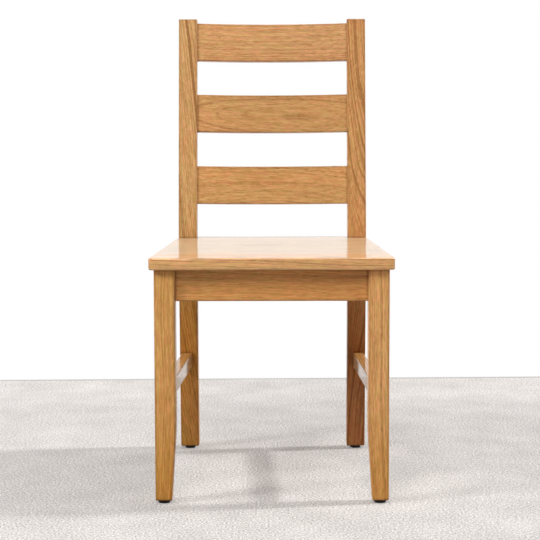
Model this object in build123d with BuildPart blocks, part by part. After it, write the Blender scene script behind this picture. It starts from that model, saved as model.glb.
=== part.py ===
from build123d import *
import math
import os

# Ladder-back dining chair in solid oak, in millimetres.
# The origin is on the floor, under the middle of the chair's box. +Z is up, and the
# chair faces -Y. Left and right are as seen from the front, so right is +X.

os.makedirs("parts", exist_ok=True)

# Seat panel
seat_height = 450.0
seat_thickness = 22.0
seat_depth = 440.0  # front edge to the front faces of the rear posts
seat_front_width = 442.0
seat_rear_width = 394.0  # beside the rear posts
seat_tail = 38.0  # tongue between the rear posts
seat_overhang = 12.0  # front edge past the front legs
seat_side_overhang = 9.0  # front corners past the front legs
seat_rear_overhang = 3.0  # rear corners past the rear posts
seat_board_count = 6
seat_corner_radius = 6.0
seat_top_round = 3.0
seat_bottom_round = 4.0
seat_notch_gap = 0.5  # seat to rear posts

# Front legs
leg_size = 38.0
leg_foot_size = 30.0
leg_taper_height = 140.0  # floor to where the taper starts
leg_taper_radius = 800.0  # soft start of the taper
leg_round = 2.5

# Rear posts
chair_height = 902.0
post_width = 38.0
post_depth = 38.0  # at the seat
post_top_depth = 26.0
post_foot_depth = 32.0
post_top_setback = 62.0  # top's front edge behind the front face at the seat
post_foot_setback = 30.0
post_knee_margin = 20.0  # upright stretch past the seat and past the aprons
post_knee_radius = 280.0
post_round = 2.5

# Back slats, measured along the raked posts
slat_names = ("top_slat", "middle_slat", "bottom_slat")
slat_height = 78.5
slat_thickness = 16.0
slat_drop = 7.8  # top slat below the top of the posts
slat_rise = 71.5  # bottom slat above the seat
slat_setback = 4.0  # ends behind the front faces of the posts
slat_bow = 13.4
slat_round = 2.0
slat_shoulder = 11.0
slat_cheek = 4.0

# Aprons
apron_height = 58.0
apron_thickness = 20.0
apron_setback = 10.0  # front and rear aprons behind the legs' front faces
side_setback = 3.0  # side rails in from the legs' outer faces
apron_round = 2.0
apron_shoulder = 8.0
apron_cheek = 5.0

# Side stretchers
stretcher_height = 30.0
stretcher_thickness = 22.0
stretcher_level = 192.5  # floor to the middle of the stretcher
stretcher_round = 2.5
stretcher_shoulder = 5.0
stretcher_cheek = 5.5

# Mortise and tenon joints
tenon_length = 18.0
tenon_root = 4.0  # tenon's root inside its own rail
glue_gap = 0.15
mortise_relief = 1.0  # mortise past the end of its tenon
mortise_wall = 2.0  # wood between two mortises that meet at a corner

# Corner blocks inside the seat frame
block_height = 30.0
block_land = 36.0  # contact with each apron
block_leg_gap = 4.0  # block to leg, along the aprons
block_drop = 2.0  # below the seat
block_round = 1.5

# Screws through the corner blocks
screw_diameter = 4.0
screw_head_diameter = 8.0
screw_head_height = 2.6
screw_head_rim = 0.8
screw_point = 4.0
screw_clearance = 0.15  # around the shank and the head
screw_grip = 12.0  # wood of the block under a screw head
screw_cover = 6.0  # wood left past a screw's tip
screw_pilot_relief = 1.0
recess_length = 5.0
recess_width = 1.1
recess_depth = 1.5

# Glides and their nails
glide_diameter = 22.0
glide_height = 6.0
glide_round = 1.5
nail_diameter = 2.4
nail_head_diameter = 7.0
nail_head_height = 1.2
nail_sink = 1.2  # nail head above the floor
nail_length = 16.0
nail_point = 3.5
nail_clearance = 0.15
nail_pilot_relief = 1.0

# Levels
seat_underside = seat_height - seat_thickness
apron_underside = seat_underside - apron_height
apron_level = seat_underside - apron_height / 2
knee_low = apron_underside - post_knee_margin
knee_high = seat_height + post_knee_margin
block_top = seat_underside - block_drop
block_level = block_top - block_height / 2
nail_shoulder = nail_sink + nail_head_height

# Rake of the back
rake = math.atan2(post_top_setback, chair_height - knee_high)
rake_up = Vector(0, math.sin(rake), math.cos(rake))
rake_back = Vector(0, math.cos(rake), -math.sin(rake))

# Depths, from the front edge of the seat to the bowed back of the top slat, or to the posts
slat_bulge = slat_setback + slat_thickness + slat_bow
back_reach = max(
    post_top_setback + slat_bulge * rake_back.Y - slat_drop * rake_up.Y,
    post_top_setback + post_top_depth,
    post_foot_setback + post_foot_depth,
)
chair_depth = seat_depth + back_reach
seat_front = -chair_depth / 2
leg_front = seat_front + seat_overhang
leg_rear = leg_front + leg_size
post_front = seat_front + seat_depth
post_rear = post_front + post_depth
seat_rear = post_front + seat_tail
front_apron_middle = leg_front + apron_setback + apron_thickness / 2
rear_apron_middle = post_front + apron_setback + apron_thickness / 2

# Widths, on the right-hand side
leg_outer = seat_front_width / 2 - seat_side_overhang
leg_inner = leg_outer - leg_size
post_outer = seat_rear_width / 2 - seat_rear_overhang
post_inner = post_outer - post_width
to_right = Vector(1, 0, 0)
to_left = Vector(-1, 0, 0)
downward = Vector(0, 0, -1)

# Side rails run from front leg to rear post along one slanted line
rail_run = post_front - leg_rear
rail_slant = math.atan2(leg_outer - post_outer, rail_run)
rail_forward = Vector(math.sin(rail_slant), -math.cos(rail_slant), 0)
rail_backward = -rail_forward


def rail_x(y, inset):
    """X of a side rail at depth y, a given distance in from its outer face."""
    along = (y - leg_rear) / rail_run
    outer_face = leg_outer + (post_outer - leg_outer) * along - side_setback
    return outer_face - inset / math.cos(rail_slant)


# Slats, evenly spaced down the rake from the top front edge of the rear posts
post_top_edge = Vector(0, post_front + post_top_setback, chair_height)
back_length = (chair_height - seat_height) / rake_up.Z
slat_room = back_length - slat_drop - slat_height - slat_rise
slat_pitch = slat_room / (len(slat_names) - 1)

# Splayed lower front face of a rear post, which the stretchers run into
splay = math.atan2(post_foot_setback, knee_low - glide_height)
splay_front = Vector(0, -math.cos(splay), -math.sin(splay))
splay_plane = Plane(origin=(0, post_front, knee_low), x_dir=to_right, z_dir=splay_front)
stretcher_rear = post_front + (knee_low - stretcher_level) * math.tan(splay)

# Tenon sizes, height and thickness
slat_tenon = (slat_height - 2 * slat_shoulder, slat_thickness - 2 * slat_cheek)
apron_tenon = (apron_height - 2 * apron_shoulder, apron_thickness - 2 * apron_cheek)
stretcher_tenon = (
    stretcher_height - 2 * stretcher_shoulder,
    stretcher_thickness - 2 * stretcher_cheek,
)

# The front and rear aprons' tenons stop short of the side aprons' mortises
side_mortise_inset = apron_thickness - apron_cheek + glue_gap
side_mortise_end = post_front + tenon_length + mortise_relief
front_tenon_room = rail_x(leg_rear, side_mortise_inset) - leg_inner
rear_tenon_room = rail_x(side_mortise_end, side_mortise_inset) - post_inner
front_tenon_length = front_tenon_room - mortise_wall - mortise_relief
rear_tenon_length = rear_tenon_room - mortise_wall - mortise_relief


def joint_plane(x, y, z, direction, upward=(0, 0, 1)):
    """Plane at the middle of a joint, facing along the tenon, with its long side upward."""
    return Plane(origin=(x, y, z), x_dir=upward, z_dir=direction)


def tenon(plane, size, length=tenon_length):
    """Round-ended tenon, added to the part being built."""
    height, thickness = size
    with BuildSketch(plane.offset(-tenon_root)) as outline:
        SlotOverall(height, thickness)
    extrude(to_extrude=outline.sketch, amount=tenon_root + length)


def mortise(plane, size, length=tenon_length):
    """Slot for a tenon, cut from the part being built."""
    height, thickness = size
    with BuildSketch(plane.offset(-tenon_root)) as outline:
        SlotOverall(height + 2 * glue_gap, thickness + 2 * glue_gap)
    depth = tenon_root + length + mortise_relief
    extrude(to_extrude=outline.sketch, amount=depth, mode=Mode.SUBTRACT)


def write(piece, label):
    """Label a finished piece and write it under its name."""
    piece.part.label = label
    export_step(piece.part, f"parts/{label}.step")


def mirrored(piece):
    """Left-hand twin of a right-hand piece."""
    with BuildPart() as twin:
        mirror(piece.part, about=Plane.YZ)
    return twin


# Joints on the right-hand side
front_apron_joint = joint_plane(leg_inner, front_apron_middle, apron_level, to_right)
rear_apron_joint = joint_plane(post_inner, rear_apron_middle, apron_level, to_right)
side_apron_joints = [
    joint_plane(rail_x(y, apron_thickness / 2), y, apron_level, direction)
    for y, direction in ((leg_rear, rail_forward), (post_front, rail_backward))
]
stretcher_joints = [
    joint_plane(rail_x(y, stretcher_thickness / 2), y, stretcher_level, direction)
    for y, direction in ((leg_rear, rail_forward), (stretcher_rear, rail_backward))
]


def slat_middle(index):
    """Middle of a slat's end section, seen from the side, on the chair's middle plane."""
    along = slat_drop + slat_height / 2 + index * slat_pitch
    into = slat_setback + slat_thickness / 2
    return post_top_edge - rake_up * along + rake_back * into


def slat_joint(index, side):
    """Joint of a slat with the post on one side."""
    middle = slat_middle(index)
    return joint_plane(side * post_inner, middle.Y, middle.Z, (side, 0, 0), rake_up)


# Corner blocks: the inner corner of two aprons, the way along the side apron and the leg's edge
front_corner_y = front_apron_middle + apron_thickness / 2
rear_corner_y = rear_apron_middle - apron_thickness / 2
block_corners = {
    "front": (front_corner_y, rail_backward, (leg_inner, leg_rear)),
    "rear": (rear_corner_y, rail_forward, (post_inner, post_front)),
}


class BlockFrame:
    """Places on a corner block of the right-hand side, worked out from its two aprons."""

    def __init__(self, corner_y, along_side, leg_edge):
        self.corner = Vector(rail_x(corner_y, apron_thickness), corner_y, 0)
        self.along_side = along_side
        edge_x, edge_y = leg_edge
        past_side = (edge_y - corner_y) / along_side.Y
        past_cross = self.corner.X + past_side * along_side.X - edge_x
        self.start = past_side + past_cross + block_leg_gap
        self.end = self.start + block_land
        self.middle = self.start + block_land / 2
        self.from_cross = Vector(0, math.copysign(1, along_side.Y), 0)
        self.from_side = Vector(-math.cos(rail_slant), -math.sin(rail_slant), 0)

    def point(self, across, along, z=0):
        """Point a distance along the cross apron and along the side apron from the corner."""
        place = self.corner + to_left * across + self.along_side * along
        return Vector(place.X, place.Y, z)

    def apron_screws(self):
        """Head seats of the screws into the cross apron and the side apron."""
        on_cross = self.point(self.middle, 0, block_level) + self.from_cross * screw_grip
        on_side = self.point(0, self.middle, block_level) + self.from_side * screw_grip
        return [
            Plane(origin=on_cross, z_dir=self.from_cross),
            Plane(origin=on_side, z_dir=self.from_side),
        ]

    def seat_screw(self):
        """Head seat of the screw up into the seat."""
        place = self.point(self.middle / 2, self.middle / 2, block_top - screw_grip)
        return Plane(origin=place, z_dir=downward)


block_frames = {place: BlockFrame(*corner) for place, corner in block_corners.items()}
apron_screw_bite = apron_thickness - screw_cover
seat_screw_bite = seat_thickness - screw_cover
apron_screw_length = screw_grip + apron_screw_bite
seat_screw_length = screw_grip + block_drop + seat_screw_bite


def screw_pilot(head_seat, length):
    """Hole for a screw whose head sits on the given plane, cut from the part being built."""
    with Locations(head_seat):
        Hole(screw_diameter / 2 + screw_clearance, length + screw_pilot_relief)


# Foot centres on the right-hand side
front_foot = (leg_outer - leg_foot_size / 2, leg_front + leg_foot_size / 2)
rear_foot = (
    post_outer - post_width / 2,
    post_front + post_foot_setback + post_foot_depth / 2,
)


def nail_pilot(foot):
    """Hole for a glide's nail, up into the foot of the part being built."""
    depth = nail_shoulder + nail_length - glide_height + nail_pilot_relief
    with Locations(Plane(origin=(*foot, glide_height), z_dir=downward)):
        Hole(nail_diameter / 2 + nail_clearance, depth)


def leg_outline(plane, outer, inward):
    """One side of a front leg: a straight outer edge, and an inner edge cut back to the foot."""
    with BuildSketch(plane) as outline:
        with BuildLine():
            Polyline(
                (outer, glide_height),
                (outer, seat_underside),
                (outer + inward * leg_size, seat_underside),
                (outer + inward * leg_size, leg_taper_height),
                (outer + inward * leg_foot_size, glide_height),
                close=True,
            )
        make_face()
        taper_start = outline.vertices().group_by(Axis.Y)[1]
        fillet(taper_start, leg_taper_radius)
    return outline.sketch


# Front legs, tapered on the two faces that look into the chair
with BuildPart() as front_leg_right:
    front_view = leg_outline(Plane.XZ, leg_outer, -1)
    side_view = leg_outline(Plane.YZ, leg_front, 1)
    extrude(to_extrude=front_view, amount=chair_depth, both=True)
    extrude(to_extrude=side_view, amount=seat_front_width, both=True, mode=Mode.INTERSECT)
    leg_top = front_leg_right.faces().sort_by(Axis.Z)[-1]
    fillet(front_leg_right.edges() - leg_top.edges(), leg_round)
    mortise(front_apron_joint, apron_tenon, front_tenon_length)
    mortise(side_apron_joints[0], apron_tenon)
    mortise(stretcher_joints[0], stretcher_tenon)
    nail_pilot(front_foot)

# Rear posts, upright at the seat frame, raked above it and splayed below
with BuildPart() as rear_post_right:
    with BuildSketch(Plane.YZ.offset(post_inner)) as post_outline:
        with BuildLine():
            Polyline(
                (post_front + post_foot_setback, glide_height),
                (post_front, knee_low),
                (post_front, knee_high),
                (post_front + post_top_setback, chair_height),
                (post_front + post_top_setback + post_top_depth, chair_height),
                (post_rear, knee_high),
                (post_rear, knee_low),
                (post_front + post_foot_setback + post_foot_depth, glide_height),
                close=True,
            )
        make_face()
        knees = post_outline.vertices().sort_by(Axis.Y)[2:-2]
        fillet(knees, post_knee_radius)
    extrude(amount=post_width)
    fillet(rear_post_right.edges(), post_round)
    mortise(rear_apron_joint, apron_tenon, rear_tenon_length)
    mortise(side_apron_joints[1], apron_tenon)
    mortise(stretcher_joints[1], stretcher_tenon)
    for slat_index in range(len(slat_names)):
        mortise(slat_joint(slat_index, 1), slat_tenon)
    nail_pilot(rear_foot)

write(mirrored(front_leg_right), "front_leg_left")
write(front_leg_right, "front_leg_right")
write(mirrored(rear_post_right), "rear_post_left")
write(rear_post_right, "rear_post_right")

# Back slats, each bowed backwards between the posts
for slat_index, slat_name in enumerate(slat_names):
    slat_plane = Plane(origin=slat_middle(slat_index), x_dir=to_right, z_dir=rake_up)
    with BuildPart() as slat:
        with BuildSketch(slat_plane.offset(-slat_height / 2)):
            with BuildLine():
                front_face = ThreePointArc(
                    (-post_inner, -slat_thickness / 2),
                    (0, slat_bow - slat_thickness / 2),
                    (post_inner, -slat_thickness / 2),
                )
                rear_face = ThreePointArc(
                    (-post_inner, slat_thickness / 2),
                    (0, slat_bow + slat_thickness / 2),
                    (post_inner, slat_thickness / 2),
                )
                Line(front_face @ 0, rear_face @ 0)
                Line(front_face @ 1, rear_face @ 1)
            make_face()
        extrude(amount=slat_height)
        fillet(slat.edges().filter_by(GeomType.CIRCLE), slat_round)
        for side in (-1, 1):
            tenon(slat_joint(slat_index, side), slat_tenon)
    write(slat, slat_name)

# Front and rear aprons, square across the chair
cross_aprons = {
    "front": (front_apron_middle, front_apron_joint, front_tenon_length),
    "rear": (rear_apron_middle, rear_apron_joint, rear_tenon_length),
}
for place, (middle, joint, length) in cross_aprons.items():
    with BuildPart() as cross_apron:
        with BuildSketch(Plane.XY.offset(apron_underside)):
            with Locations((0, middle)):
                Rectangle(2 * joint.origin.X, apron_thickness)
        extrude(amount=apron_height)
        fillet(cross_apron.edges().filter_by(Axis.X), apron_round)
        tenon(joint, apron_tenon, length)
        screw_pilot(block_frames[place].apron_screws()[0], apron_screw_length)
        split(bisect_by=Plane.YZ, keep=Keep.TOP)
        mirror(about=Plane.YZ)
    write(cross_apron, f"{place}_apron")


def rail_outline(rear, thickness):
    """Plan of a side rail on the right-hand side, from the front leg back to a given depth."""
    Polyline(
        (rail_x(leg_rear, 0), leg_rear),
        (rail_x(rear, 0), rear),
        (rail_x(rear, thickness), rear),
        (rail_x(leg_rear, thickness), leg_rear),
        close=True,
    )


rail_axis = Axis(origin=(0, 0, 0), direction=rail_backward)

# Side aprons, slanted in towards the back
with BuildPart() as side_apron_right:
    with BuildSketch(Plane.XY.offset(apron_underside)):
        with BuildLine():
            rail_outline(post_front, apron_thickness)
        make_face()
    extrude(amount=apron_height)
    fillet(side_apron_right.edges().filter_by(rail_axis), apron_round)
    for joint in side_apron_joints:
        tenon(joint, apron_tenon)
    for frame in block_frames.values():
        screw_pilot(frame.apron_screws()[1], apron_screw_length)

write(mirrored(side_apron_right), "side_apron_left")
write(side_apron_right, "side_apron_right")

# Side stretchers, with the rear shoulder cut to the splayed post
with BuildPart() as side_stretcher_right:
    with BuildSketch(Plane.XY.offset(stretcher_level - stretcher_height / 2)):
        with BuildLine():
            rail_outline(stretcher_rear + stretcher_height, stretcher_thickness)
        make_face()
    extrude(amount=stretcher_height)
    fillet(side_stretcher_right.edges().filter_by(rail_axis), stretcher_round)
    split(bisect_by=splay_plane, keep=Keep.TOP)
    for joint in stretcher_joints:
        tenon(joint, stretcher_tenon)

write(mirrored(side_stretcher_right), "side_stretcher_left")
write(side_stretcher_right, "side_stretcher_right")

# Seat panel, notched round the rear posts
with BuildPart() as seat_panel:
    with BuildSketch(Plane.XY.offset(seat_underside)) as seat_outline:
        with BuildLine():
            Polyline(
                (0, seat_front),
                (seat_front_width / 2, seat_front),
                (seat_rear_width / 2, post_front - seat_notch_gap),
                (post_inner - seat_notch_gap, post_front - seat_notch_gap),
                (post_inner - seat_notch_gap, seat_rear),
                (0, seat_rear),
            )
            mirror(about=Plane.YZ)
        make_face()
        front_corners = seat_outline.vertices().group_by(Axis.Y)[0].sort_by(Axis.X)
        fillet([front_corners[0], front_corners[-1]], seat_corner_radius)
    extrude(amount=seat_thickness)
    fillet(seat_panel.faces().sort_by(Axis.Z)[-1].edges(), seat_top_round)
    fillet(seat_panel.faces().sort_by(Axis.Z)[0].edges(), seat_bottom_round)
    for frame in block_frames.values():
        screw_pilot(frame.seat_screw(), seat_screw_length)
    split(bisect_by=Plane.YZ, keep=Keep.TOP)
    mirror(about=Plane.YZ)

# The panel's boards run from side to side
board_width = (seat_rear - seat_front) / seat_board_count
for board_index in range(seat_board_count):
    board_middle = seat_front + (board_index + 0.5) * board_width
    with BuildPart() as seat_board:
        add(seat_panel.part)
        with Locations((0, board_middle, seat_height - seat_thickness / 2)):
            Box(seat_front_width, board_width, seat_thickness, mode=Mode.INTERSECT)
    write(seat_board, f"seat_board_{board_index + 1}")

# Corner blocks, each across the corner of two aprons, with counterbored screw holes
for place, frame in block_frames.items():
    with BuildPart() as corner_block:
        with BuildSketch(Plane.XY.offset(block_top - block_height)):
            with BuildLine():
                Polyline(
                    frame.point(frame.start, 0),
                    frame.point(frame.end, 0),
                    frame.point(0, frame.end),
                    frame.point(0, frame.start),
                    close=True,
                )
            make_face()
        extrude(amount=block_height)
        fillet(corner_block.edges().filter_by(Axis.Z), block_round)
        with Locations(*frame.apron_screws(), frame.seat_screw()):
            Hole(screw_diameter / 2 + screw_clearance, block_height)
            with Locations((0, 0, block_height)):
                Hole(screw_head_diameter / 2 + screw_clearance, block_height)
    write(mirrored(corner_block), f"corner_block_{place}_left")
    write(corner_block, f"corner_block_{place}_right")


def wood_screw(length):
    """Pan-head wood screw standing on its head's underside, point down."""
    with BuildPart() as screw:
        with BuildSketch(Plane.XZ):
            with BuildLine():
                Polyline(
                    (0, screw_head_height),
                    (0, -length),
                    (screw_diameter / 2, screw_point - length),
                    (screw_diameter / 2, 0),
                    (screw_head_diameter / 2, 0),
                    (screw_head_diameter / 2, screw_head_rim),
                )
                TangentArc(
                    (screw_head_diameter / 2, screw_head_rim),
                    (0, screw_head_height),
                    tangent=(0, 1),
                )
            make_face()
        revolve(axis=Axis.Z)
        with Locations((0, 0, screw_head_height)):
            for turn in (0, 90):
                Box(
                    recess_length,
                    recess_width,
                    2 * recess_depth,
                    rotation=(0, 0, turn),
                    mode=Mode.SUBTRACT,
                )
    return screw.part


screw_groups = {
    "corner_block_screws": (
        wood_screw(apron_screw_length),
        [plane for frame in block_frames.values() for plane in frame.apron_screws()],
    ),
    "seat_screws": (
        wood_screw(seat_screw_length),
        [frame.seat_screw() for frame in block_frames.values()],
    ),
}
for group_name, (screw_part, head_seats) in screw_groups.items():
    with BuildPart() as screw_group:
        with Locations(*head_seats):
            add(screw_part)
        mirror(about=Plane.YZ)
    write(screw_group, group_name)

# Glides under the feet, each with a counterbored hole for its nail
for place, foot in (("front", front_foot), ("rear", rear_foot)):
    with BuildPart() as glide:
        with BuildSketch():
            with Locations(foot):
                Circle(glide_diameter / 2)
        extrude(amount=glide_height)
        fillet(glide.edges().group_by(Axis.Z)[0], glide_round)
        with Locations(Plane(origin=(*foot, 0), z_dir=downward)):
            CounterBoreHole(
                nail_diameter / 2 + nail_clearance,
                nail_head_diameter / 2 + nail_clearance,
                nail_shoulder,
                glide_height,
            )
    write(mirrored(glide), f"glide_{place}_left")
    write(glide, f"glide_{place}_right")

# Glide nails, driven up into the feet
with BuildPart() as nail:
    with BuildSketch(Plane.XZ):
        with BuildLine():
            Polyline(
                (0, nail_sink),
                (nail_head_diameter / 2, nail_sink),
                (nail_head_diameter / 2, nail_shoulder),
                (nail_diameter / 2, nail_shoulder),
                (nail_diameter / 2, nail_shoulder + nail_length - nail_point),
                (0, nail_shoulder + nail_length),
                close=True,
            )
        make_face()
    revolve(axis=Axis.Z)

with BuildPart() as glide_nails:
    with Locations(front_foot, rear_foot):
        add(nail.part)
    mirror(about=Plane.YZ)
write(glide_nails, "glide_nails")
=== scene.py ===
import math

import bpy
import numpy as np
from mathutils import Euler, Matrix, Vector


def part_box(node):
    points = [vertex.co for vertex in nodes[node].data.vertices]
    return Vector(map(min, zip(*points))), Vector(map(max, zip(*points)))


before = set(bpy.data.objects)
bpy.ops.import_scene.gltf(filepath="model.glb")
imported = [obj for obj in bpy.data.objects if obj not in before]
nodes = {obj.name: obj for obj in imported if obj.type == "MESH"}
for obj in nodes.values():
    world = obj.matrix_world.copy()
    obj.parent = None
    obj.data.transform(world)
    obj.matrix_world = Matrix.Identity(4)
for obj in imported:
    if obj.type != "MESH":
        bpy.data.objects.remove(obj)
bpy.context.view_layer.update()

scene = bpy.context.scene
scene.view_settings.view_transform = "Standard"
print("frame:", len(nodes), "nodes loaded")


# small helpers for node trees

def put(tree, kind, inputs=(), **settings):  # one node, with inputs set to a value or linked
    made = tree.nodes.new(kind)
    for key, value in settings.items():
        setattr(made, key, value)
    for key, value in dict(inputs).items():
        if isinstance(value, bpy.types.NodeSocket):
            tree.links.new(value, made.inputs[key])
        else:
            made.inputs[key].default_value = value
    return made


def maths(tree, operation, *values):
    return put(tree, "ShaderNodeMath", enumerate(values), operation=operation).outputs[0]


def vectors(tree, operation, inputs, output="Vector"):
    return put(tree, "ShaderNodeVectorMath", inputs, operation=operation).outputs[output]


def axesOf(tree, vector):
    return put(tree, "ShaderNodeSeparateXYZ", {0: vector}).outputs


def objectPlace(tree):
    return put(tree, "ShaderNodeTexCoord").outputs["Object"]


def facing(tree):
    return put(tree, "ShaderNodeNewGeometry").outputs["Normal"]


def ease(tree, value, low, high, start=0.0, end=1.0):  # smooth step from start at low to end at high
    limits = {"Value": value, "From Min": low, "From Max": high, "To Min": start, "To Max": end}
    return put(tree, "ShaderNodeMapRange", limits, interpolation_type="SMOOTHSTEP").outputs[0]


mixSockets = {"factor": 0, "first": 6, "second": 7, "result": 2}  # those of a mix node for colours


def mixed(tree, factor, first, second, how="MIX"):
    inputs = {mixSockets["factor"]: factor, mixSockets["first"]: first, mixSockets["second"]: second}
    made = put(tree, "ShaderNodeMix", inputs, data_type="RGBA", blend_type=how)
    return made.outputs[mixSockets["result"]]


def tinted(tree, colour, tint):
    return mixed(tree, 1.0, colour, tint, "MULTIPLY")


def noise(tree, vector, scale, detail=2.0, roughness=0.5):  # drawn out by a scale per axis
    drawn = vectors(tree, "MULTIPLY", {0: vector, 1: scale})
    inputs = {"Vector": drawn, "Scale": 1.0, "Detail": detail, "Roughness": roughness}
    return put(tree, "ShaderNodeTexNoise", inputs).outputs[0]


def bumped(tree, height, bump):
    inputs = {"Strength": bump["strength"], "Distance": bump["depth"], "Height": height}
    return put(tree, "ShaderNodeBump", inputs).outputs[0]


def newGroup(name, inputs, outputs):
    tree = bpy.data.node_groups.new(name, "ShaderNodeTree")
    for label, kind, value in inputs:
        socket = tree.interface.new_socket(label, in_out="INPUT", socket_type="NodeSocket" + kind)
        if value is not None:
            socket.default_value = value
    for label, kind in outputs:
        tree.interface.new_socket(label, in_out="OUTPUT", socket_type="NodeSocket" + kind)
    return tree, tree.nodes.new("NodeGroupInput").outputs, tree.nodes.new("NodeGroupOutput").inputs


def newMaterial(name):
    material = bpy.data.materials.new(name)
    material.use_nodes = True
    material.node_tree.nodes.clear()
    return material, material.node_tree


def finishMaterial(tree, inputs):
    shader = put(tree, "ShaderNodeBsdfPrincipled", inputs).outputs[0]
    put(tree, "ShaderNodeOutputMaterial", {"Surface": shader})


def dress(nodeName, material):
    for slot in nodes[nodeName].material_slots:
        slot.material = material


white = (1, 1, 1, 1)
noiseMiddle = 0.5

# the figure of oak, with x along the grain: noise scales per metre along and across it, and the band
# of each noise that shows
figureNoises = {
    "slowBend": {"scale": (2.6, 11, 11), "detail": 1.0},
    "quickBend": {"scale": (14, 90, 90)},
    "fibre": {"scale": (42, 380, 380), "detail": 4.0, "roughness": 0.55},
    "streak": {"scale": (5, 130, 130), "detail": 3.0, "roughness": 0.55},
    "pore": {"scale": (52, 900, 900), "roughness": 0.55},
    "fleck": {"scale": (70, 290, 290), "detail": 1.0},
    "drift": {"scale": (1.3, 17, 17)},
    "mottle": {"scale": (40, 210, 210)},
}
figureBands = {
    "fibre": (0.34, 0.66),
    "streak": (0.44, 0.74),
    "pore": (0.55, 0.66),
    "fleck": (0.58, 0.74),
    "drift": (0.3, 0.7),
    "mottle": (0.34, 0.66),
    "sawnEnd": (0.35, 0.8),  # how squarely a face cuts the grain
}
figureShares = {"quickBend": 0.1, "streak": 0.3, "ring": 0.5, "pore": 0.75, "fleck": 0.4}
figureTones = {
    "pore": (0.16, 0.06, 0.018, 1),
    "drifts": ((1.04, 0.98, 0.94, 1), (0.97, 1.02, 0.98, 1)),
    "mottles": ((1.04, 0.965, 1.0, 1), (0.96, 1.035, 0.92, 1)),
    "sawnEnd": (0.72, 0.64, 0.56, 1),  # end grain drinks more stain
}
ringShape = {
    "rhythm": 130.0,  # how fast the rings' widths change outwards from the heart
    "uneven": 1.8,
    "darkIn": (0.0, 0.12),  # part of a ring in which its dark line sets in
    "fadeFrom": 0.14,
    "leastWeight": 0.3,
    "chanceWeight": 0.7,
    "leastPores": 0.35,
    "ringPores": 0.65,
}
figureRelief = {"pore": -0.7, "fibre": 0.35}
figureRoughness = {"plain": 0.32, "fibre": 0.16, "pore": 0.22}


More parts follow.
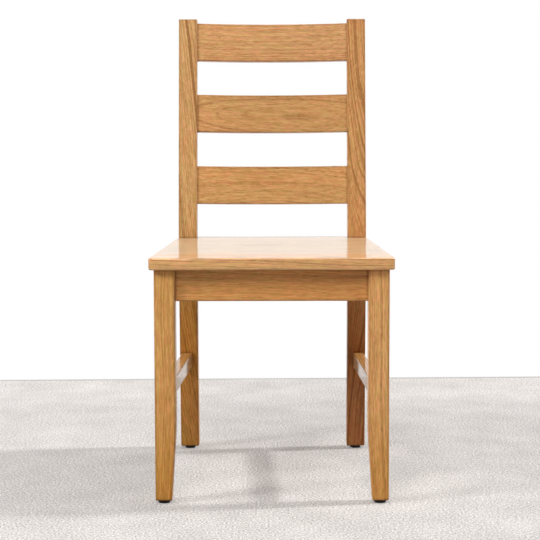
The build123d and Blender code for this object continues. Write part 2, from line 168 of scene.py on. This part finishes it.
def buildOakFigure():
    tree, given, result = newGroup(
        "oakFigure",
        [
            ("Vector", "Vector", None),
            ("Start", "Vector", (0.0, 0.0, 0.0)),
            ("Heart", "Vector", (0.0, 0.05, 0.05)),
            ("Lean", "Vector", (0.0, 0.0, 0.0)),
            ("Slope", "Vector", (0.0, 0.0, 0.0)),
            ("Axis", "Vector", (1.0, 0.0, 0.0)),
            ("Ring Width", "Float", 0.004),
            ("Line", "Float", 0.8),
            ("Wander", "Float", 0.01),
            ("Contrast", "Float", 1.0),
            ("Pale", "Color", (0.6, 0.3, 0.1, 1)),
            ("Honey", "Color", (0.5, 0.25, 0.08, 1)),
            ("Umber", "Color", (0.3, 0.12, 0.03, 1)),
            ("Shaded End", "Color", white),
            ("Shaded From", "Float", -0.1),
            ("Shaded To", "Float", 0.0),
        ],
        [("Color", "Color"), ("Pores", "Float"), ("Height", "Float"), ("Roughness", "Float")],
    )
    x, y, z = axesOf(tree, given["Vector"])
    sloped = vectors(tree, "SCALE", {0: given["Slope"], "Scale": x})
    place = vectors(tree, "ADD", {0: given["Vector"], 1: sloped})
    place = vectors(tree, "ADD", {0: place, 1: given["Start"]})
    field = {name: noise(tree, place, **sizes) for name, sizes in figureNoises.items()}

    def shown(name):  # a noise, from 0 to 1 over its band
        return ease(tree, field[name], *figureBands[name])

    # distance from the heart line, bent here and there, counted in rings
    _, heartSide, heartDeep = axesOf(tree, given["Heart"])
    _, leanSide, leanDeep = axesOf(tree, given["Lean"])
    side = maths(tree, "MULTIPLY_ADD", x, leanSide, maths(tree, "SUBTRACT", y, heartSide))
    deep = maths(tree, "MULTIPLY_ADD", x, leanDeep, maths(tree, "SUBTRACT", z, heartDeep))
    squares = maths(tree, "MULTIPLY_ADD", side, side, maths(tree, "MULTIPLY", deep, deep))
    reach = maths(tree, "SQRT", squares)
    slow = maths(tree, "SUBTRACT", field["slowBend"], noiseMiddle)
    quick = maths(tree, "SUBTRACT", field["quickBend"], noiseMiddle)
    bent = maths(tree, "MULTIPLY_ADD", quick, figureShares["quickBend"], slow)
    reach = maths(tree, "MULTIPLY_ADD", bent, given["Wander"], reach)
    rhythm = {"W": maths(tree, "MULTIPLY", reach, ringShape["rhythm"]), "Scale": 1.0, "Detail": 1.0}
    uneven = put(tree, "ShaderNodeTexNoise", rhythm, noise_dimensions="1D").outputs[0]
    evenCount = maths(tree, "DIVIDE", reach, given["Ring Width"])
    count = maths(tree, "MULTIPLY_ADD", uneven, ringShape["uneven"], evenCount)
    phase = maths(tree, "FRACT", count)
    number = maths(tree, "FLOOR", count)
    chance = put(tree, "ShaderNodeTexWhiteNoise", {"W": number}, noise_dimensions="1D").outputs[0]

    # each ring's dark early wood, and the pores, most of which lie in it
    rise = ease(tree, phase, *ringShape["darkIn"])
    fall = ease(tree, phase, ringShape["fadeFrom"], given["Line"], 1.0, 0.0)
    weight = maths(tree, "MULTIPLY_ADD", chance, ringShape["chanceWeight"], ringShape["leastWeight"])
    early = maths(tree, "MULTIPLY", maths(tree, "MULTIPLY", rise, fall), weight)
    poreRow = maths(tree, "MULTIPLY_ADD", early, ringShape["ringPores"], ringShape["leastPores"])
    pores = maths(tree, "MULTIPLY", shown("pore"), poreRow)

    body = mixed(tree, shown("fibre"), given["Pale"], given["Honey"])
    streaks = maths(tree, "MULTIPLY", shown("streak"), figureShares["streak"])
    body = mixed(tree, streaks, body, given["Umber"])
    strength = maths(tree, "MULTIPLY", given["Contrast"], figureShares["ring"])
    body = mixed(tree, maths(tree, "MULTIPLY", early, strength), body, given["Umber"])
    body = mixed(tree, maths(tree, "MULTIPLY", pores, figureShares["pore"]), body, figureTones["pore"])
    flecks = maths(tree, "MULTIPLY", shown("fleck"), figureShares["fleck"])
    body = mixed(tree, flecks, body, given["Pale"])
    body = tinted(tree, body, mixed(tree, shown("drift"), *figureTones["drifts"]))
    body = tinted(tree, body, mixed(tree, shown("mottle"), *figureTones["mottles"]))
    # painted shade: a darker, warmer tint towards the lower end, under the seat and near the floor
    awayFromShade = ease(tree, x, given["Shaded From"], given["Shaded To"])
    body = tinted(tree, body, mixed(tree, awayFromShade, given["Shaded End"], white))
    along = vectors(tree, "DOT_PRODUCT", {0: facing(tree), 1: given["Axis"]}, "Value")
    sawnEnd = ease(tree, maths(tree, "ABSOLUTE", along), *figureBands["sawnEnd"])
    body = mixed(tree, sawnEnd, body, tinted(tree, body, figureTones["sawnEnd"]))

    raised = maths(tree, "MULTIPLY", field["fibre"], figureRelief["fibre"])
    height = maths(tree, "MULTIPLY_ADD", pores, figureRelief["pore"], raised)
    rough = maths(tree, "MULTIPLY_ADD", field["fibre"], figureRoughness["fibre"], figureRoughness["plain"])
    rough = maths(tree, "MULTIPLY_ADD", pores, figureRoughness["pore"], rough)
    for name, value in (("Color", body), ("Pores", pores), ("Height", height), ("Roughness", rough)):
        tree.links.new(value, result[name])
    return tree


# painted shade along edges, most on those that face down, and in the corners where pieces meet
edgeShape = {
    "width": 0.006,
    "edgeBand": (0.66, 0.94),
    "edgeRays": 8,
    "downToSide": (-0.7, 0.12),
    "sideWeight": 0.42,
    "patches": {"scale": (26, 26, 26)},
    "patchBand": (0.35, 0.65),
    "leastPatch": 0.7,
    "cornerWidth": 0.005,
    "cornerBand": (0.5, 0.95),
    "cornerRays": 4,
}


def buildEdgeShade():
    tree, given, result = newGroup(
        "edgeShade",
        [
            ("Color", "Color", (0.5, 0.5, 0.5, 1)),
            ("Amount", "Float", 0.3),
            ("Corner", "Float", 0.5),
            ("Painted Shade", "Color", (0.3, 0.15, 0.05, 1)),
        ],
        [("Color", "Color"), ("Edge", "Float")],
    )
    inward = {"samples": edgeShape["edgeRays"], "inside": True, "only_local": True}
    near = {"Distance": edgeShape["width"]}
    solid = put(tree, "ShaderNodeAmbientOcclusion", near, **inward).outputs["AO"]
    edge = ease(tree, solid, *edgeShape["edgeBand"], 1.0, 0.0)
    # painted shade: edges that face down get the most
    upright = axesOf(tree, facing(tree))[2]
    shadeByFacing = ease(tree, upright, *edgeShape["downToSide"], 1.0, edgeShape["sideWeight"])
    edge = maths(tree, "MULTIPLY", edge, shadeByFacing)
    patches = noise(tree, objectPlace(tree), **edgeShape["patches"])
    patchy = ease(tree, patches, *edgeShape["patchBand"], edgeShape["leastPatch"], 1.0)
    edge = maths(tree, "MULTIPLY", edge, patchy)
    # painted shade in the hollow corners where pieces meet
    around = {"Distance": edgeShape["cornerWidth"]}
    rays = edgeShape["cornerRays"]
    openness = put(tree, "ShaderNodeAmbientOcclusion", around, samples=rays).outputs["AO"]
    hollow = ease(tree, openness, *edgeShape["cornerBand"], 1.0, 0.0)
    corner = maths(tree, "MULTIPLY", hollow, given["Corner"])
    both = maths(tree, "MAXIMUM", maths(tree, "MULTIPLY", edge, given["Amount"]), corner)
    tree.links.new(mixed(tree, both, given["Color"], given["Painted Shade"]), result["Color"])
    tree.links.new(edge, result["Edge"])
    return tree


# how thick the lacquer lies: clouds left by the pad, thinner on edges and over pores
layShape = {
    "clouds": {"scale": (7, 7, 7), "detail": 3.0, "roughness": 0.6},
    "cloudBand": (0.25, 0.75),
    "leastCloud": 0.86,
    "poreLoss": 0.35,
    "edgeLoss": 0.25,
}


def buildLacquerLay():
    tree, given, result = newGroup(
        "lacquerLay",
        [("Edge", "Float", 0.0), ("Pores", "Float", 0.0), ("Thick", "Float", 1.0)],
        [("Coat", "Float")],
    )
    clouds = noise(tree, objectPlace(tree), **layShape["clouds"])
    cloud = ease(tree, clouds, *layShape["cloudBand"], layShape["leastCloud"], 1.0)
    edgeLoss = maths(tree, "MULTIPLY", given["Edge"], layShape["edgeLoss"])
    loss = maths(tree, "MULTIPLY_ADD", given["Pores"], layShape["poreLoss"], edgeLoss)
    coat = maths(tree, "MULTIPLY", maths(tree, "SUBTRACT", cloud, loss), given["Thick"])
    tree.links.new(coat, result["Coat"])
    return tree


oakFigure = buildOakFigure()
edgeShade = buildEdgeShade()
lacquerLay = buildLacquerLay()
print("groups:", ", ".join(group.name for group in bpy.data.node_groups))

# lacquered oak, with what a piece takes unless it says otherwise
turns = {  # brings the grain onto x
    "x": (0.0, 0.0, 0.0),
    "y": (0.0, 0.0, -math.pi / 2),
    "z": (0.0, math.pi / 2, 0.0),
}
axes = {"x": (1, 0, 0), "y": (0, 1, 0), "z": (0, 0, 1)}
oakTones = {
    "pale": (0.7, 0.375, 0.15),
    "honey": (0.56, 0.27, 0.09),
    "umber": (0.29, 0.112, 0.03),
    # the last tone is painted shade, laid along edges and in corners
    "paintedShade": (0.17, 0.06, 0.015),
}
# corner sets the painted shade in the corners where pieces meet
lacquer = {"roughness": 0.08, "ior": 1.36, "corner": 0.6, "hazeRoughness": 0.3}
oakBump = {"strength": 0.25, "depth": 0.0004}
plainOak = {
    "slope": (0, 0),  # how fast the fibres run out sideways
    "line": 0.8,  # where in a ring its dark line has faded
    "skew": 0.0,  # radians off its axis, seen from above
    "edges": 0.9,  # painted shade along its edges
    "thick": 0.95,  # of the lacquer
    "sheen": 0.04,  # gloss of the wood under it
    "haze": 0.0,
    "shadedEnd": {"tint": (1, 1, 1), "from": -1.0, "to": -0.9},  # painted shade, a darker tint towards the lower end
}


def grainPlace(tree, piece, turn):  # from the middle of the piece, with the grain on x
    low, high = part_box(piece["node"])
    centre = turn.to_matrix() @ ((low + high) / 2)
    inputs = {"Vector": objectPlace(tree), "Rotation": turn, "Location": -centre}
    return put(tree, "ShaderNodeMapping", inputs).outputs[0]


def dressOak(own):
    piece = {**plainOak, **own}
    tones = {name: (*np.multiply(tone, piece["tint"]), 1) for name, tone in oakTones.items()}
    shadedEnd = piece["shadedEnd"]
    turn = Euler(np.add(turns[piece["along"]], (0, 0, piece["skew"])))
    material, tree = newMaterial("oak " + piece["node"].replace("_", " "))
    figure = put(tree, "ShaderNodeGroup", {
        "Vector": grainPlace(tree, piece, turn),
        "Start": (piece["start"], 0, 0),
        "Heart": (0, *piece["heart"]),
        "Lean": (0, *piece["lean"]),
        "Slope": (0, *piece["slope"]),
        "Axis": axes[piece["along"]],
        "Ring Width": piece["ring"],
        "Line": piece["line"],
        "Wander": piece["wander"],
        "Contrast": piece["contrast"],
        "Pale": tones["pale"],
        "Honey": tones["honey"],
        "Umber": tones["umber"],
        "Shaded End": (*shadedEnd["tint"], 1),
        "Shaded From": shadedEnd["from"],
        "Shaded To": shadedEnd["to"],
    }, node_tree=oakFigure).outputs
    edge = put(tree, "ShaderNodeGroup", {
        "Color": figure["Color"],
        "Amount": piece["edges"],
        "Corner": lacquer["corner"],
        "Painted Shade": tones["paintedShade"],
    }, node_tree=edgeShade).outputs
    lay = put(tree, "ShaderNodeGroup", {
        "Edge": edge["Edge"],
        "Pores": figure["Pores"],
        "Thick": piece["thick"],
    }, node_tree=lacquerLay).outputs
    finishMaterial(tree, {
        "Base Color": edge["Color"],
        "Roughness": figure["Roughness"],
        "Normal": bumped(tree, figure["Height"], oakBump),
        "Specular IOR Level": piece["sheen"],
        "Coat Weight": lay["Coat"],
        "Coat Roughness": lacquer["roughness"],
        "Coat IOR": lacquer["ior"],
        "Sheen Weight": piece["haze"],
        "Sheen Roughness": lacquer["hazeRoughness"],
    })
    dress(piece["node"], material)


# the frame: heart is where the tree's heart lay from the piece's middle, across the grain
topSlat = {
    "node": "top_slat", "along": "x", "start": 3.1, "heart": (0.035, 0.12), "lean": (0.0, 0.012),
    "ring": 0.0045, "wander": 0.016, "contrast": 1.0, "tint": (0.94, 1.0, 1.22),
}
middleSlat = {
    "node": "middle_slat", "along": "x", "start": 7.3, "heart": (0.0175, -0.006), "lean": (0.035, 0.04),
    "slope": (0, 0.05), "ring": 0.0075, "line": 0.3, "wander": 0.02, "contrast": 1.0,
    "tint": (0.86, 0.925, 1.04),
}
bottomSlat = {
    "node": "bottom_slat", "along": "x", "start": 12.4, "heart": (0.05, -0.09), "lean": (0.02, 0.03),
    "ring": 0.0044, "wander": 0.016, "contrast": 0.9, "tint": (0.94, 1.015, 1.14),
}
# posts and legs take painted shade towards their lower ends
leftPost = {
    "node": "rear_post_left", "along": "z", "start": 17.6, "heart": (0.02, 0.2), "lean": (0.0, -0.14),
    "slope": (0, -0.14), "ring": 0.006, "line": 0.5, "wander": 0.022, "contrast": 1.9,
    "thick": 0.45, "edges": 1.25, "tint": (0.89, 1.03, 1.24),
    "shadedEnd": {"tint": (1.0, 0.76, 0.4), "from": -0.2, "to": 0.04},
}
rightPost = {
    "node": "rear_post_right", "along": "z", "start": 23.2, "heart": (0.045, -0.05), "lean": (-0.015, -0.02),
    "ring": 0.005, "wander": 0.03, "contrast": 1.5,
    "thick": 0.45, "edges": 1.25, "tint": (0.945, 0.945, 1.06),
    "shadedEnd": {"tint": (0.775, 0.6, 0.5), "from": -0.28, "to": 0.02},
}
leftLeg = {
    "node": "front_leg_left", "along": "z", "start": 29.9, "heart": (0.06, 0.07), "lean": (0.01, 0.015),
    "ring": 0.005, "wander": 0.016, "contrast": 1.5,
    "thick": 0.35, "edges": 1.25, "tint": (1.045, 1.085, 1.0),
    "shadedEnd": {"tint": (0.9, 0.84, 0.57), "from": -0.22, "to": 0.02},
}
rightLeg = {
    "node": "front_leg_right", "along": "z", "start": 35.3, "heart": (0.05, -0.07), "lean": (0.015, -0.015),
    "ring": 0.005, "wander": 0.016, "contrast": 1.15,
    "thick": 0.35, "edges": 1.25, "tint": (1.155, 1.245, 1.355),
    "shadedEnd": {"tint": (0.845, 0.755, 0.525), "from": -0.22, "to": 0.02},
}
frontApron = {
    "node": "front_apron", "along": "x", "start": 41.7, "heart": (-0.04, 0.1), "lean": (0.01, 0.015),
    "ring": 0.0046, "wander": 0.016, "contrast": 1.0, "tint": (0.99, 0.93, 0.81),
}
rearApron = {
    "node": "rear_apron", "along": "x", "start": 47.2, "heart": (0.05, -0.08), "lean": (0.03, 0.02),
    "ring": 0.0044, "wander": 0.018, "contrast": 1.0, "tint": (0.96, 0.98, 0.98),
}
leftSideApron = {
    "node": "side_apron_left", "along": "y", "skew": 0.0461, "start": 52.8, "heart": (0.06, 0.05),
    "lean": (0.03, 0.02), "ring": 0.0042, "wander": 0.018, "contrast": 1.0, "tint": (0.97, 1.0, 0.98),
}
rightSideApron = {
    "node": "side_apron_right", "along": "y", "skew": -0.0461, "start": 58.1, "heart": (-0.05, 0.06),
    "lean": (0.04, 0.0), "ring": 0.0046, "wander": 0.018, "contrast": 1.0, "tint": (1.0, 1.0, 0.98),
}
# its paler tint is partly a painted reflection on its inner face
leftStretcher = {
    "node": "side_stretcher_left", "along": "y", "skew": 0.0461, "start": 63.5, "heart": (0.06, 0.05),
    "lean": (0.0, 0.02), "ring": 0.004, "wander": 0.014, "contrast": 1.0, "tint": (1.07, 1.12, 1.02),
}
rightStretcher = {
    "node": "side_stretcher_right", "along": "y", "skew": -0.0461, "start": 69.4, "heart": (-0.05, 0.06),
    "lean": (0.015, 0.0), "ring": 0.0042, "wander": 0.014, "contrast": 1.0, "tint": (1.03, 1.06, 1.0),
}
framePieces = [
    topSlat, middleSlat, bottomSlat, leftPost, rightPost, leftLeg, rightLeg,
    frontApron, rearApron, leftSideApron, rightSideApron, leftStretcher, rightStretcher,
]
for piece in framePieces:
    dressOak(piece)
print("oak frame:", len(framePieces), "pieces dressed")

# the seat's boards, front to back, glossier than the frame and a little hazy; their pale, blue-leaning
# tints, strongest on boards 2 to 6, are partly painted light, for the top's brightness under light from
# above and its reflection of the white wall
seatOak = {"along": "x", "edges": 0.3, "sheen": 0.8, "thick": 0.97, "haze": 0.25}
seatBoards = [
    {
        "node": "seat_board_1", "start": 75.1, "heart": (-0.02, -0.06), "lean": (0.03, 0.05),
        "ring": 0.0048, "wander": 0.02, "contrast": 1.4, "tint": (1.13, 1.18, 1.2),
        "thick": 0.92, "haze": 0.12,
    },
    {
        "node": "seat_board_2", "start": 81.6, "heart": (0.015, -0.06), "lean": (-0.04, 0.03),
        "ring": 0.0052, "wander": 0.022, "contrast": 1.1, "tint": (1.1, 1.37, 1.85),
    },
    {
        "node": "seat_board_3", "start": 87.4, "heart": (0.1, -0.03), "lean": (0.0, 0.02),
        "ring": 0.0044, "wander": 0.014, "contrast": 0.9, "tint": (1.05, 1.32, 1.74),
    },
    {
        "node": "seat_board_4", "start": 93.3, "heart": (-0.01, -0.05), "lean": (0.05, -0.03),
        "ring": 0.005, "wander": 0.024, "contrast": 1.2, "tint": (1.1, 1.39, 1.87),
    },
    {
        "node": "seat_board_5", "start": 98.8, "heart": (-0.09, -0.04), "lean": (0.02, 0.0),
        "ring": 0.0042, "wander": 0.015, "contrast": 0.9, "tint": (1.08, 1.32, 1.74),
    },
    {
        "node": "seat_board_6", "start": 104.2, "heart": (0.02, -0.065), "lean": (-0.03, 0.02),
        "ring": 0.0047, "wander": 0.02, "contrast": 1.0, "tint": (1.06, 1.32, 1.78),
    },
]
for board in seatBoards:
    dressOak({**seatOak, **board})
print("seat:", len(seatBoards), "boards dressed")

# bare sawn blocks inside the seat frame
sawnOak = {
    "heart": (0, 0.02, -0.05),
    "ring": 0.0035,
    "wander": 0.01,
    "contrast": 0.7,
    "pale": (0.72, 0.5, 0.29, 1),
    "honey": (0.62, 0.4, 0.2, 1),
    "umber": (0.42, 0.23, 0.1, 1),
    "sawMarks": {"scale": (900, 30, 30), "detail": 1.0},
    "sawDepth": 0.6,
    "bump": {"strength": 0.4, "depth": 0.0005},
    "addedRoughness": 0.3,
}
cornerBlocks = [
    {"node": "corner_block_front_left", "turn": -math.pi / 4, "start": 110.3},
    {"node": "corner_block_front_right", "turn": math.pi / 4, "start": 113.8},
    {"node": "corner_block_rear_left", "turn": math.pi / 4, "start": 117.1},
    {"node": "corner_block_rear_right", "turn": -math.pi / 4, "start": 120.6},
]


def dressBlock(piece):
    material, tree = newMaterial("sawn " + piece["node"].replace("_", " "))
    grain = grainPlace(tree, piece, Euler((0, 0, piece["turn"])))
    figure = put(tree, "ShaderNodeGroup", {
        "Vector": grain,
        "Start": (piece["start"], 0, 0),
        "Heart": sawnOak["heart"],
        "Ring Width": sawnOak["ring"],
        "Wander": sawnOak["wander"],
        "Contrast": sawnOak["contrast"],
        "Pale": sawnOak["pale"],
        "Honey": sawnOak["honey"],
        "Umber": sawnOak["umber"],
    }, node_tree=oakFigure).outputs
    sawMarks = noise(tree, grain, **sawnOak["sawMarks"])
    height = maths(tree, "MULTIPLY_ADD", sawMarks, sawnOak["sawDepth"], figure["Height"])
    finishMaterial(tree, {
        "Base Color": figure["Color"],
        "Roughness": maths(tree, "ADD", figure["Roughness"], sawnOak["addedRoughness"]),
        "Normal": bumped(tree, height, sawnOak["bump"]),
    })
    dress(piece["node"], material)


for block in cornerBlocks:
    dressBlock(block)
print("corner blocks:", len(cornerBlocks), "dressed")

# zinc-plated screws and nails
fasteners = {
    "nodes": ("corner_block_screws", "seat_screws", "glide_nails"),
    "zinc": (0.58, 0.55, 0.47, 1),
    "dull": (0.4, 0.37, 0.31, 1),
    "spangle": {"scale": (420, 420, 420), "detail": 3.0, "roughness": 0.6},
    "spangleBand": (0.35, 0.65),
    "scuffs": {"scale": (900, 900, 120)},
    "scuffBand": (0.5, 0.7),
    "bump": {"strength": 0.15, "depth": 0.0001},
    "plainRoughness": 0.3,
    "scuffRoughness": 0.2,
}


def dressFasteners():
    material, tree = newMaterial("zinc steel")
    place = objectPlace(tree)
    spangle = ease(tree, noise(tree, place, **fasteners["spangle"]), *fasteners["spangleBand"])
    scuff = ease(tree, noise(tree, place, **fasteners["scuffs"]), *fasteners["scuffBand"])
    rough = maths(tree, "MULTIPLY_ADD", scuff, fasteners["scuffRoughness"], fasteners["plainRoughness"])
    finishMaterial(tree, {
        "Base Color": mixed(tree, spangle, fasteners["dull"], fasteners["zinc"]),
        "Metallic": 1.0,
        "Roughness": rough,
        "Normal": bumped(tree, scuff, fasteners["bump"]),
    })
    for name in fasteners["nodes"]:
        dress(name, material)


# black moulded glides, dusty near the floor
glides = {
    "nodes": ("glide_front_left", "glide_front_right", "glide_rear_left", "glide_rear_right"),
    "black": (0.016, 0.015, 0.014, 1),
    "dust": (0.05, 0.047, 0.044, 1),
    "dustTop": 0.003,
    "grit": {"scale": (1600, 1600, 1600), "roughness": 0.6},
    "gritBand": (0.4, 0.6),
    "bump": {"strength": 0.25, "depth": 0.0002},
    "plainRoughness": 0.4,
    "gritRoughness": 0.25,
    "sheen": 0.2,
}


def dressGlides():
    material, tree = newMaterial("black nylon")
    place = objectPlace(tree)
    level = axesOf(tree, place)[2]
    grit = noise(tree, place, **glides["grit"])
    low = ease(tree, level, 0.0, glides["dustTop"], 1.0, 0.0)
    dusty = maths(tree, "MULTIPLY", low, ease(tree, grit, *glides["gritBand"]))
    rough = maths(tree, "MULTIPLY_ADD", grit, glides["gritRoughness"], glides["plainRoughness"])
    finishMaterial(tree, {
        "Base Color": mixed(tree, dusty, glides["black"], glides["dust"]),
        "Roughness": rough,
        "Normal": bumped(tree, grit, glides["bump"]),
        "Specular IOR Level": glides["sheen"],
    })
    for name in glides["nodes"]:
        dress(name, material)


dressFasteners()
dressGlides()
print("fasteners and glides dressed")


# the stage: a pale floor and a white wall, both clear from behind, that fade to white far off

stageSize = {"reach": 9.0, "fade": (1.9, 3.6)}


def stagePlane(name, corners, material):
    mesh = bpy.data.meshes.new(name)
    mesh.from_pydata(np.array(corners, float).tolist(), [], [(0, 1, 2, 3)])
    mesh.materials.append(material)
    plane = bpy.data.objects.new(name, mesh)
    scene.collection.objects.link(plane)


def seenRay(tree):  # 1 for what the camera, a reflection or glass sees
    ray = put(tree, "ShaderNodeLightPath").outputs
    seen = maths(tree, "MAXIMUM", ray["Is Camera Ray"], ray["Is Glossy Ray"])
    return maths(tree, "MAXIMUM", seen, ray["Is Transmission Ray"])


def farOff(tree, place):
    return ease(tree, vectors(tree, "LENGTH", {0: place}, "Value"), *stageSize["fade"])


def mixedShaders(tree, factor, first, second):
    return put(tree, "ShaderNodeMixShader", {0: factor, 1: first, 2: second}).outputs[0]


def glowing(tree, colour):
    return put(tree, "ShaderNodeEmission", {"Color": colour, "Strength": 1.0}).outputs[0]


def clearBehind(tree, shader):
    behind = put(tree, "ShaderNodeNewGeometry").outputs["Backfacing"]
    clear = put(tree, "ShaderNodeBsdfTransparent").outputs[0]
    put(tree, "ShaderNodeOutputMaterial", {"Surface": mixedShaders(tree, behind, shader, clear)})


floor = {
    "pale": (0.835, 0.805, 0.797, 1),
    "deep": (0.305, 0.294, 0.287, 1),
    "specks": {"scale": (260, 260, 260), "detail": 3.0, "roughness": 0.65},
    "patches": {"scale": (9, 9, 9)},
    "patchShare": 0.12,
    "speckBand": (0.36, 0.76),
    # paler towards the wall: painted light
    "paintedLightByWall": (1.12, 1.12, 1.12, 1),
    "paintedLightBand": (0.64, 0.85),
    "thrown": 0.73,  # part of its light that it throws back on the chair
    "evenShare": 0.36,  # part that shadows don't darken
    "bump": {"strength": 0.3, "depth": 0.002},
}


def layFloor():
    material, tree = newMaterial("pale floor")
    place = objectPlace(tree)
    specks = noise(tree, place, **floor["specks"])
    patches = noise(tree, place, **floor["patches"])
    speckled = maths(tree, "MULTIPLY_ADD", patches, floor["patchShare"], specks)
    tone = mixed(tree, ease(tree, speckled, *floor["speckBand"]), floor["deep"], floor["pale"])
    back = axesOf(tree, place)[1]
    # painted light: the floor pales towards the wall
    tone = tinted(tree, tone, mixed(tree, ease(tree, back, *floor["paintedLightBand"]), white, floor["paintedLightByWall"]))
    seen = seenRay(tree)
    thrown = maths(tree, "MULTIPLY_ADD", seen, 1 - floor["thrown"], floor["thrown"])
    tone = vectors(tree, "SCALE", {0: tone, "Scale": thrown})
    matt = {"Color": tone, "Normal": bumped(tree, specks, floor["bump"])}
    shader = put(tree, "ShaderNodeBsdfDiffuse", matt).outputs[0]
    even = maths(tree, "MULTIPLY", seen, floor["evenShare"])
    shader = mixedShaders(tree, even, shader, glowing(tree, tone))
    direct = put(tree, "ShaderNodeLightPath").outputs["Is Camera Ray"]
    fade = maths(tree, "MULTIPLY", farOff(tree, place), direct)
    clearBehind(tree, mixedShaders(tree, fade, shader, glowing(tree, white)))
    far = stageSize["reach"]
    stagePlane("floor", [(-far, -far, 0), (far, -far, 0), (far, far, 0), (-far, far, 0)], material)


wall = {
    "behind": 1.0416,
    "skew": 0.0269,
    "tall": 6.0,
    "joint": (0.6, 0.58, 0.56, 1),  # painted shadow along the line where it meets the floor
    "jointBand": (0.002, 0.004),
    "matt": (0.8, 0.8, 0.8, 1),
}


def buildWall():
    material, tree = newMaterial("white wall")
    place = objectPlace(tree)
    level = axesOf(tree, place)[2]
    # painted shadow line at the foot of the wall
    awayFromShadowLine = maths(tree, "MAXIMUM", ease(tree, level, *wall["jointBand"]), farOff(tree, place))
    bright = glowing(tree, mixed(tree, awayFromShadowLine, wall["joint"], white))
    matt = put(tree, "ShaderNodeBsdfDiffuse", {"Color": wall["matt"]}).outputs[0]
    clearBehind(tree, mixedShaders(tree, seenRay(tree), matt, bright))
    far = stageSize["reach"]
    tall = wall["tall"]
    left, right = (wall["behind"] + side * far * wall["skew"] for side in (-1, 1))
    stagePlane("wall", [(-far, left, 0), (far, right, 0), (far, right, tall), (-far, left, tall)], material)


layFloor()
buildWall()
print("stage: floor and wall set")

# light: a weak sky, a hard lamp on the right, one on the front left, one high in front
lampColour = (1.0, 0.985, 0.96)
sky = {
    "level": 0.14,
    "mirrored": 0.4,  # in reflections it is darker in front of the chair
    "mirrorBand": (-0.5, 0.15),
}


def lightSky():
    world = bpy.data.worlds.new("sky")
    scene.world = world
    world.use_nodes = True
    tree = world.node_tree
    tree.nodes.clear()
    dim = {"Color": (*lampColour, 1), "Strength": sky["level"]}
    back = axesOf(tree, put(tree, "ShaderNodeTexCoord").outputs["Generated"])[1]
    mirrored = ease(tree, back, *sky["mirrorBand"], sky["mirrored"], 1.0)
    ray = put(tree, "ShaderNodeLightPath").outputs
    straight = maths(tree, "MAXIMUM", ray["Is Camera Ray"], ray["Is Transmission Ray"])
    bright = {"Color": white, "Strength": maths(tree, "MAXIMUM", mirrored, straight)}
    shaders = [put(tree, "ShaderNodeBackground", inputs).outputs[0] for inputs in (dim, bright)]
    put(tree, "ShaderNodeOutputWorld", {"Surface": mixedShaders(tree, seenRay(tree), *shaders)})


def addLamp(own):
    lamp = bpy.data.lights.new(own["name"], "AREA")
    lamp.shape = "DISK"
    lamp.size = own["size"]
    lamp.energy = own["power"]
    lamp.color = lampColour
    made = bpy.data.objects.new(own["name"], lamp)
    towards = Vector(own["towards"]).normalized()
    made.location = Vector(own["aim"]) + towards * own["distance"]
    made.rotation_euler = towards.to_track_quat("Z", "Y").to_euler()
    made.visible_camera = False
    scene.collection.objects.link(made)


rightLamp = {
    "name": "right lamp", "towards": (0.745, 0.073, 0.655), "aim": (0.0, 0.0, 0.3),
    "distance": 8.0, "size": 0.65, "power": 560.0,
}
leftLamp = {
    "name": "left lamp", "towards": (-0.755, -0.369, 0.545), "aim": (0.0, 0.0, 0.3),
    "distance": 3.4, "size": 0.7, "power": 64.0,
}
frontLamp = {
    "name": "front lamp", "towards": (-0.075, -0.65, 0.755), "aim": (0.0, 0.0, 0.45),
    "distance": 3.4, "size": 1.7, "power": 65.0,
}
lightSky()
for lamp in (rightLamp, leftLamp, frontLamp):
    addLamp(lamp)
print("light: sky and three lamps set")

# the photograph's viewpoint, in metres and degrees; back counts from the seat's front edge
viewpoint = {
    "seatFront": -0.266977,
    "back": 2.71151,
    "across": 0.0099,
    "height": 0.710726,
    "pitch": 5.18855,
    "yaw": -0.2686,
    "roll": -0.13899,
    "focalPixels": 1528.088,
    "shiftPixels": 20.0,
    "imageWidth": 540,
    "sensor": 36.0,  # millimetres
}


def placeCamera():
    pitch, yaw, roll = (math.radians(viewpoint[name]) for name in ("pitch", "yaw", "roll"))
    level = Vector((math.sin(yaw), math.cos(yaw), 0))
    ahead = level * math.cos(pitch) - Vector((0, 0, math.sin(pitch)))
    over = level * math.sin(pitch) + Vector((0, 0, math.cos(pitch)))
    right = Vector((math.cos(yaw), -math.sin(yaw), 0))
    cameraRight = right * math.cos(roll) + over * math.sin(roll)
    cameraUp = over * math.cos(roll) - right * math.sin(roll)
    lens = bpy.data.cameras.new("photo camera")
    lens.sensor_width = viewpoint["sensor"]
    lens.lens = viewpoint["focalPixels"] / viewpoint["imageWidth"] * viewpoint["sensor"]
    lens.shift_y = -viewpoint["shiftPixels"] / viewpoint["imageWidth"]
    camera = bpy.data.objects.new("photo camera", lens)
    place = Vector((viewpoint["across"], viewpoint["seatFront"] - viewpoint["back"], viewpoint["height"]))
    cameraAxes = Matrix((cameraRight, cameraUp, -ahead)).transposed()
    camera.matrix_world = Matrix.Translation(place) @ cameraAxes.to_4x4()
    scene.collection.objects.link(camera)
    scene.camera = camera
    print("camera set, lens", round(lens.lens, 2))


placeCamera()
